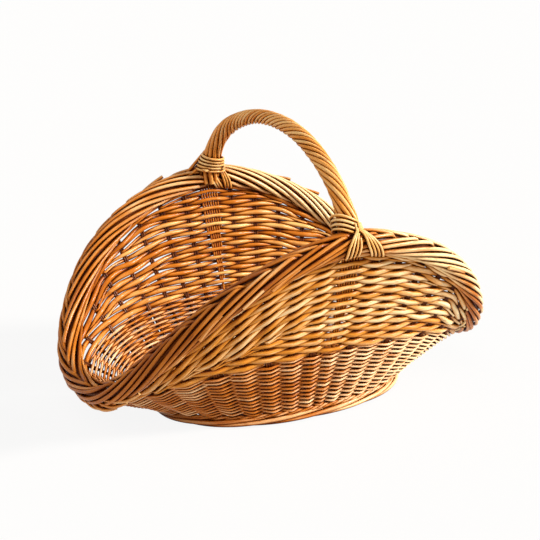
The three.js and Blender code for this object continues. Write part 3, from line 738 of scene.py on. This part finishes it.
# Foot border: thick rods laid up like a rope.
FOOT_HALF_LENGTH = 181.0
FOOT_HALF_WIDTH = 121.0
FOOT_LEVEL = 6.6
FOOT_STEPS = 420
FOOT_STRANDS = 4
FOOT_TWISTS = 3
FOOT_RADIUS = 2.85
FOOT_SPREAD = 4.9
FOOT_SWELL = 3.6
foot_angles = equal_angles(FOOT_STEPS, FOOT_HALF_LENGTH, FOOT_HALF_WIDTH, BASE_SQUARENESS)
plan_x, plan_y = outline(foot_angles, FOOT_HALF_LENGTH, FOOT_HALF_WIDTH, BASE_SQUARENESS)
foot = np.stack([plan_x, plan_y, np.full(FOOT_STEPS, FOOT_LEVEL)], -1)
foot_out = np.cross(ring_way(foot), UP)
rope = Bundle()
for strand in range(FOOT_STRANDS):
    phase = 2 * np.pi * (FOOT_TWISTS * np.arange(FOOT_STEPS) / FOOT_STEPS + strand / FOOT_STRANDS)
    points = foot + foot_out * (FOOT_SPREAD * np.cos(phase))[:, None]
    points[:, 2] += FOOT_SWELL * np.sin(phase)
    radius = FOOT_RADIUS * (1 + wander(FOOT_STEPS, size=0.01, knots=14))
    # Their tone is painted paler toward the right: painted light.
    tone = rng.random() - 0.2 + 1.1 * smooth(-120, 100, points[:, 0])
    rope.rod(points, UP, radius, tone, closed=True, sides=10)
rope.build("foot_border_rope", willow_foot, "willow_border", "foot_border")

# Bottom: sticks, and fine rods woven over and under them in ovals.
STICK_RADIUS = 2.6
LONG_STICK = 140.0
LONG_STICK_GAP = 22.0
CROSS_STICK = 84.0
CROSS_STICK_GAP = 38.0
CROSS_STICK_OVAL = 150.0
slath = Bundle()
for y in LONG_STICK_GAP * np.arange(-1, 2):
    x = np.linspace(-LONG_STICK, LONG_STICK, 12)
    slath.rod(np.stack([x, np.full(12, y), np.full(12, STAKE_LEVEL)], -1), UP, STICK_RADIUS)
for x in CROSS_STICK_GAP * np.arange(-3, 4):
    half = CROSS_STICK * math.sqrt(1 - (x / CROSS_STICK_OVAL) ** 2)
    y = np.linspace(-half, half, 10)
    slath.rod(np.stack([np.full(10, x), y, np.full(10, STAKE_LEVEL)], -1), UP, STICK_RADIUS)
slath.build("base_slath_sticks", willow_base, "willow_base", "base_slath")

MAT_ROWS = 30
MAT_INNER_ROWS = 14
MAT_HALF_LENGTH = 172.0
MAT_HALF_WIDTH = 112.0
MAT_LIFT = 3.9
MAT_RADIUS = 2.1
WAVE_STEPS = 8
mat = Bundle()
for row in range(MAT_ROWS):
    half_width = MAT_HALF_WIDTH * (row + 0.7) / MAT_ROWS
    half_length = MAT_HALF_LENGTH - (MAT_HALF_WIDTH - half_width)
    # The inner rows take two sticks at a time.
    count = WAVE_STEPS * (PLACES // 2 if row < MAT_INNER_ROWS else PLACES)
    angle = equal_angles(count, half_length, half_width, BASE_SQUARENESS)
    x, y = outline(angle, half_length, half_width, BASE_SQUARENESS)
    side = 1 if row % 2 == 0 else -1
    wave = side * MAT_LIFT * np.cos(np.pi * np.arange(count) / WAVE_STEPS)
    points = np.stack([x, y, STAKE_LEVEL + wave], -1)
    mat.rod(points, UP, MAT_RADIUS * (1 + wander(count, size=0.03, knots=9)), closed=True)
mat.build("base_weave_rods", willow_base, "willow_base", "base_weave_lower", "base_weave_upper")

# Handle: rods laid round a core, twisted tightest over the left of the bow.
ARCH_HALF_SPAN = 198.0
ARCH_RISE = 149.0
ARCH_BASE = 235.0
ARCH_START = 24.0
ARCH_POINTS = 261
SHOULDER_TURN, SHOULDER_WIDTH = 0.75, 0.3
SHOULDER_PUSH = np.array([0.0, 2.4, 2.2])
HANDLE_RODS = 10
ROD_FULLNESS = 0.51
THICKEST_ROD = 3.1
CORE_DEPTH = 1.8
arch_start = math.asin(ARCH_START / ARCH_RISE)
turns = np.linspace(arch_start, math.pi - arch_start, ARCH_POINTS)
arch_y = ARCH_HALF_SPAN * np.cos(turns)
arch = np.stack([np.zeros(ARCH_POINTS), arch_y, ARCH_BASE + ARCH_RISE * np.sin(turns)], -1)
# The bow is bent hardest at its left shoulder.
arch += hump(turns - SHOULDER_TURN, SHOULDER_WIDTH)[:, None] * SHOULDER_PUSH
arch_along = unit(np.gradient(arch, axis=0))
arch_side = np.array([-1.0, 0.0, 0.0])
arch_out = np.cross(arch_side, arch_along)
arch_length = travelled(arch)
along = arch_length / arch_length[-1]
# Twist of the rods in radians per millimetre, and the radius that they lie on, which spreads at both feet.
rate = 0.018 + 0.047 * smooth(0.12, 0.34, along)
rate -= 0.014 * smooth(0.42, 0.66, along) + 0.02 * smooth(0.7, 0.95, along)
twist = np.concatenate([[0.0], np.cumsum((rate[1:] + rate[:-1]) / 2 * np.diff(arch_length))])
foot_spread = 1 - smooth(0.0, 0.13, along) + smooth(0.87, 1.0, along)
ring = 9.4 - 1.4 * smooth(0.22, 0.42, along) + 1.1 * smooth(0.45, 0.8, along) + 3.6 * foot_spread
lay = 1 / np.sqrt(1 + (rate * ring) ** 2)
handle = Bundle()
for rod in range(HANDLE_RODS):
    angle = 2 * np.pi * rod / HANDLE_RODS - twist
    points = arch + (arch_out * np.cos(angle)[:, None] + arch_side * np.sin(angle)[:, None]) * ring[:, None]
    radius = ROD_FULLNESS * 2 * np.pi * ring / HANDLE_RODS * lay * (1 + 0.04 * rng.normal())
    handle.rod(points, unit(points - arch), np.minimum(radius, THICKEST_ROD), sides=10)
# A core of the darkest tone fills the handle: painted shade between its rods.
handle.rod(arch, arch_out, ring - CORE_DEPTH, 0.0, sides=12)

# Its tails run down in the walls, the middle one to the base. Each has its shift sideways and its lower end.
TAILS = (
    (-12.9, 186.0), (-8.6, 150.0), (-4.3, 110.0), (0.0, 4.0), (4.3, 104.0), (8.6, 142.0), (12.9, 178.0),
)
TAIL_RADIUS = 1.75
TAIL_RISE = 6.0
# The tails are painted darker, those inside the back wall most: painted shade.
for place, offset, shade in ((BACK_PLACE, -1.4, 0.8), (FRONT_PLACE, 1.4, 0.3)):
    for shift, bottom in TAILS:
        rise = np.linspace(bottom, rim_length[place * SUB] + TAIL_RISE, 30)
        wall, normals = on_wall(place + shift / spacing[place * SUB], rise, offset)
        handle.rod(wall, normals, TAIL_RADIUS, 0.6 * rng.random() - shade)

# Three rods leave the back foot on the left and run down into the border. Each has its two ends and its tone.
BRACES = (
    ((4.0, 195.0, 310.0), (-44.0, 201.0, 260.0), 0.0),
    # The second lies behind the first and is painted dark: painted shade in the gap.
    ((4.0, 196.0, 302.0), (-36.0, 200.0, 260.0), -1.6),
    ((-8.0, 190.0, 285.0), (-38.0, 194.0, 266.0), 0.4),
)
BRACE_RADIUS = 2.4
for top, low, tone in BRACES:
    handle.rod(np.linspace(top, low, 14), [0, 0.3, 1.0], BRACE_RADIUS, tone)
handle.build("handle_rods", willow_handle, "willow_handle", "handle_core", "handle_wrap_1", "handle_wrap_2")


# Lashings: turns of one rod round each foot of the handle, above the rim.
def bow_frame(length):
    """Points along the bow, and its outward direction there."""
    place = np.stack([np.interp(length, arch_length, arch[:, a]) for a in range(3)], -1)
    out = unit(np.stack([np.interp(length, arch_length, arch_out[:, a]) for a in range(3)], -1))
    return place, out


LASHING_PITCH = 5.6
LASHING_TURN_POINTS = 30
LASHING_RADIUS = 1.9
LASHING_LIFT = 4.2
TUCK_DEPTH = 4.0
TUCK_TURN = 0.2


def add_lashing(name, front, turns, start, lean, dip, level, shift, wide, taper):
    """Turns at a level up the bow. They lean along X, dip toward one face and narrow by the taper."""
    turn = np.linspace(0, turns, int(turns * LASHING_TURN_POINTS))
    angle = 2 * np.pi * turn + start
    length = level + LASHING_PITCH * (turn - turns / 2) - lean * np.sin(angle) - dip * np.cos(angle)
    if front:
        length = arch_length[-1] - length
    place, out = bow_frame(length)
    # Its two ends are tucked in between the handle's rods.
    tuck = 1 - smooth(0.0, TUCK_TURN, turn) + smooth(turns - TUCK_TURN, turns, turn)
    size = np.interp(length, arch_length, ring) + LASHING_LIFT - TUCK_DEPTH * tuck
    points = place + out * (np.cos(angle) * size)[:, None]
    points[:, 0] += np.sin(angle) * size * (wide - taper * turn / turns) + shift
    bundle = Bundle()
    bundle.rod(points, unit(points - place), LASHING_RADIUS, 0.7)
    bundle.build(f"{name}_rod", willow_lashing, "willow_lashing", name)


add_lashing(
    "front_lashing", front=True, turns=4.4, start=0.96, lean=9.0, dip=0.0, level=22.5, shift=-5.0,
    wide=1.06, taper=0.0)
add_lashing(
    "back_lashing", front=False, turns=5.4, start=-0.96, lean=2.0, dip=7.0, level=29.0, shift=1.5,
    wide=1.34, taper=0.3)


# Straps: legs of a few rods from the lashing over the rim border and into the weave, outside and inside.
STRAP_RADIUS = 1.65
STRAP_REACH = 18.4
STRAP_PITCH = 1.6
STRAP_TUCK = 7.0
STRAP_DEGREES, STRAP_TURN = 24.0, 141.0
STRAP_TOP_Y, STRAP_TOP_Y_SPREAD = 186.5, 16.0
STRAP_TOP_Z, STRAP_TOP_Z_SPREAD = 284.5, 4.5


def rim_at(x, sign):
    """The rim's line over X, on the back for sign 1 and on the front for -1."""
    reach = np.abs(x / RIM_HALF_LENGTH) ** RIM_SQUARENESS
    y = sign * RIM_HALF_WIDTH * (1 - reach) ** (1 / RIM_SQUARENESS)
    return np.stack([x, y, rim_height(x)], -1)


def add_strap(name, sign, *legs):
    """A leg has its side, its X at the top, middle and end, its count of rods, their spread and stagger."""
    bundle = Bundle()
    drop = np.linspace(0, 1, 30)
    turn = np.radians(STRAP_DEGREES + STRAP_TURN * drop)
    radius = STRAP_REACH - STRAP_TUCK * smooth(0.9, 1.0, drop)
    for facing, start, middle, end, rods, spread, stagger in legs:
        pull = 2.0 * middle - (start + end) / 2
        curve = start * (1 - drop) ** 2 + pull * 2 * drop * (1 - drop) + end * drop**2
        for at in range(rods):
            order = at - (rods - 1) / 2
            x = curve + order * (STRAP_PITCH + (spread - STRAP_PITCH) * smooth(0.0, 0.55, drop))
            points = rim_at(x, sign)
            points[:, 1] += sign * facing * np.sin(turn) * radius
            points[:, 2] += np.cos(turn) * radius
            # A straight lead comes down to it from the lashing.
            top_y = sign * (STRAP_TOP_Y + facing * STRAP_TOP_Y_SPREAD)
            top = np.array([start + order, top_y, STRAP_TOP_Z + facing * STRAP_TOP_Z_SPREAD])
            lead = top + (points[0] - top) * np.linspace(0, 0.85, 6)[:, None]
            points = np.vstack([lead, points])[int(stagger * at):]
            bundle.rod(points, [0, sign * facing, 0.3], STRAP_RADIUS, 0.3 + 0.5 * rng.random())
    bundle.build(f"{name}_rods", willow_lashing, "willow_lashing", name)


add_strap("front_left_strap", -1.0, (1.0, 2.0, -9.5, -6.5, 4, 5.9, 4.5), (-1.0, -4.0, -9.0, -14.0, 3, 4.6, 0))
add_strap("front_right_strap", -1.0, (1.0, 6.0, 20.0, 33.0, 4, 5.6, 0), (-1.0, 6.0, 13.0, 20.0, 3, 4.6, 0))
add_strap("back_left_strap", 1.0, (1.0, -4.0, -12.0, -20.0, 4, 5.0, 0), (-1.0, -14.0, 4.0, 22.0, 3, 4.6, 0))
add_strap("back_right_strap", 1.0, (1.0, 4.0, 10.0, 16.0, 4, 5.0, 0), (-1.0, 14.0, 24.0, 34.0, 3, 4.6, 0))


# Floor, light and camera.
def add_view_share(tree):
    """One for rays from the camera and for those that it sees reflected, zero for light on the object."""
    rays = add_node(tree, "ShaderNodeLightPath").outputs
    mirrored = add_node(
        tree, "ShaderNodeMath", {0: rays["Is Camera Ray"], 1: rays["Is Glossy Ray"]}, operation="ADD")
    return add_node(
        tree, "ShaderNodeMath", {0: mirrored.outputs[0], 1: rays["Is Transmission Ray"]},
        operation="ADD", use_clamp=True)


FLOOR_SIZE = 14.0
bpy.ops.mesh.primitive_plane_add(size=FLOOR_SIZE, location=(0, 0, 0))
floor = bpy.context.object
floor.name = "floor"
# White studio paper: pale to the lamps, and nearly pure white to the camera with a faint shadow.
WHITE_SHARE = 0.9
paper = bpy.data.materials.new("white_studio_paper")
paper.use_nodes = True
tree = paper.node_tree
tree.nodes.clear()
seen = add_view_share(tree)
sheet = add_node(
    tree, "ShaderNodeBsdfPrincipled", values={"Base Color": linear("#d8d5d0"), "Roughness": 0.95})
white = add_node(tree, "ShaderNodeEmission", values={"Color": (1, 1, 1, 1), "Strength": 1.0})
shown = add_node(tree, "ShaderNodeMath", {0: seen.outputs[0]}, {1: WHITE_SHARE}, operation="MULTIPLY")
both = add_node(tree, "ShaderNodeMixShader", {0: shown.outputs[0], 1: sheet.outputs[0], 2: white.outputs[0]})
add_node(tree, "ShaderNodeOutputMaterial", {"Surface": both.outputs[0]})
floor.data.materials.append(paper)

# A white room to the camera, and a weak warm fill on the object.
FILL_STRENGTH = 0.11
scene = bpy.context.scene
world = bpy.data.worlds.new("studio")
scene.world = world
world.use_nodes = True
sky = world.node_tree
sky.nodes.clear()
seen = add_view_share(sky)
white = add_node(sky, "ShaderNodeBackground", values={"Color": (1, 1, 1, 1), "Strength": 1.0})
fill = add_node(
    sky, "ShaderNodeBackground", values={"Color": (1.0, 0.95, 0.88, 1), "Strength": FILL_STRENGTH})
mixed = add_node(sky, "ShaderNodeMixShader", {0: seen.outputs[0], 1: fill.outputs[0], 2: white.outputs[0]})
add_node(sky, "ShaderNodeOutputWorld", {"Surface": mixed.outputs[0]})


def looking(back):
    """Turn of a lamp or camera with its back that way."""
    back = unit(np.array(back))
    right = unit(np.cross(UP, back))
    up = np.cross(back, right)
    return Matrix(np.stack([right, up, back], -1).tolist()).to_4x4()


def add_sun(name, toward, strength, softness, colour):
    data = bpy.data.lights.new(name, "SUN")
    data.energy = strength
    data.angle = math.radians(softness)
    data.color = colour
    lamp = bpy.data.objects.new(name, data)
    scene.collection.objects.link(lamp)
    lamp.matrix_world = looking(toward)


add_sun("key", (0.76, -0.48, 0.46), strength=5.6, softness=12.0, colour=(1.0, 0.965, 0.91))
add_sun("front", (-0.60, -0.52, 0.90), strength=1.5, softness=60.0, colour=(1.0, 0.95, 0.86))

# The camera of the photograph, in degrees, metres and pixels.
AZIMUTH = math.radians(-29.856)
ELEVATION = math.radians(17.991)
TARGET = 0.150 * UP
DISTANCE = 2.0673
SENSOR = 36.0
PHOTO_SIZE = 540.0
FOCAL_PIXELS = 1491.3
CENTRE_X = 273.85
CENTRE_Y = 285.95
level_reach = math.cos(ELEVATION)
back = np.array([math.sin(AZIMUTH) * level_reach, -math.cos(AZIMUTH) * level_reach, math.sin(ELEVATION)])
lens = bpy.data.cameras.new("camera")
lens.sensor_width = SENSOR
lens.lens = SENSOR * FOCAL_PIXELS / PHOTO_SIZE
lens.shift_x = (PHOTO_SIZE / 2 - CENTRE_X) / PHOTO_SIZE
lens.shift_y = (CENTRE_Y - PHOTO_SIZE / 2) / PHOTO_SIZE
camera = bpy.data.objects.new("camera", lens)
scene.collection.objects.link(camera)
camera.matrix_world = Matrix.Translation((TARGET + DISTANCE * back).tolist()) @ looking(back)
scene.camera = camera
scene.view_settings.view_transform = "Standard"
